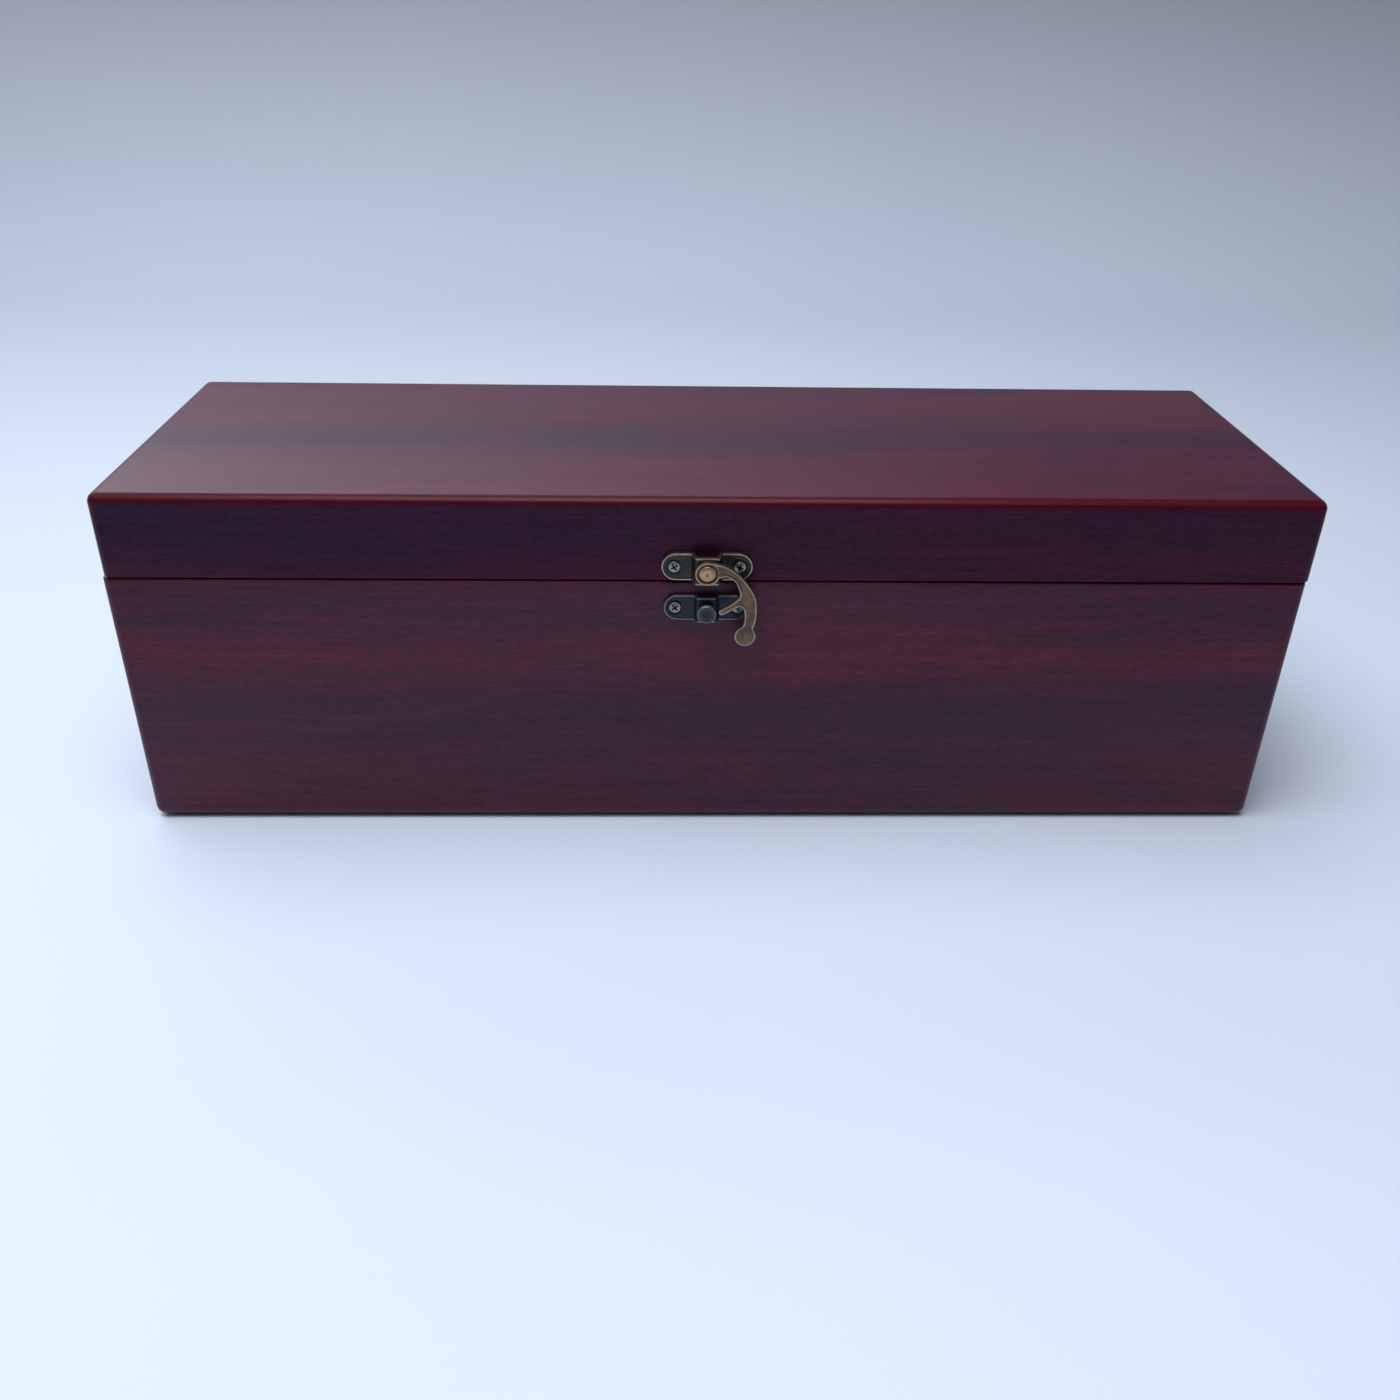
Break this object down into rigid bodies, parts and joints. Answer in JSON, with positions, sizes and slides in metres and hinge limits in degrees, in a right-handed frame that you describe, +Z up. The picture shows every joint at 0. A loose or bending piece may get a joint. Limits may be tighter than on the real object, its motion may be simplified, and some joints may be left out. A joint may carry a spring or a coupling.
{
  "type": "wooden bottle presentation box",
  "caption": "Long hinged rosewood-finished presentation box for one bottle, with rounded edges, a swing-hook latch and a satin-lined cradle.",
  "frame": {"origin": "middle of the footprint on the table", "axes": "+X along the box to the right as seen from the latch side, +Y from the latch side to the hinge side, +Z up"},
  "size_m": [0.3606, 0.1267, 0.112],
  "materials": {
    "rosewood": "dark red rosewood veneer under satin lacquer",
    "lining_satin": "champagne satin over foam or card",
    "felt": "black felt",
    "antique_bronze": "dark antique bronze, rubbed bright on its edges",
    "bronze_rivet": "worn bronze",
    "screw_steel": "nickel-plated cross-slot"
  },
  "bodies": {
    "base": {"base_front_panel": "rosewood", "base_back_panel": "rosewood", "base_left_panel": "rosewood", "base_right_panel": "rosewood", "base_bottom_board": "rosewood", "base_felt": "felt", "base_front_lining": "lining_satin", "base_back_lining": "lining_satin", "base_left_lining": "lining_satin", "base_right_lining": "lining_satin", "floor_pad": "lining_satin", "bottle_cradle": "lining_satin", "neck_rest": "lining_satin", "catch_plate": "antique_bronze", "catch_stud": "antique_bronze", "catch_plate_screws": "screw_steel", "left_hinge_base_leaf": "antique_bronze", "right_hinge_base_leaf": "antique_bronze", "left_hinge_pin": "antique_bronze", "right_hinge_pin": "antique_bronze", "hinge_base_screws": "screw_steel"},
    "lid": {"lid_top_board": "rosewood", "lid_front_rail": "rosewood", "lid_back_rail": "rosewood", "lid_left_rail": "rosewood", "lid_right_rail": "rosewood", "lid_pad": "lining_satin", "lid_front_lining": "lining_satin", "lid_back_lining": "lining_satin", "lid_left_lining": "lining_satin", "lid_right_lining": "lining_satin", "latch_plate": "antique_bronze", "latch_rivet": "bronze_rivet", "latch_plate_screws": "screw_steel", "left_hinge_lid_leaf": "antique_bronze", "right_hinge_lid_leaf": "antique_bronze", "hinge_lid_screws": "screw_steel"},
    "hook": {"latch_hook": "antique_bronze"}
  },
  "joints": [
    {"name": "lid_open", "type": "hinge", "parent": "base", "child": "lid", "pos_m": [0, 0.0592, 0.086], "axis": [-1, 0, 0], "range_deg": [0, 95]},
    {"name": "latch_swing", "type": "hinge", "parent": "lid", "child": "hook", "pos_m": [-0.002, -0.0625, 0.0913], "axis": [0, -1, 0], "range_deg": [0, 135]}
  ]
}
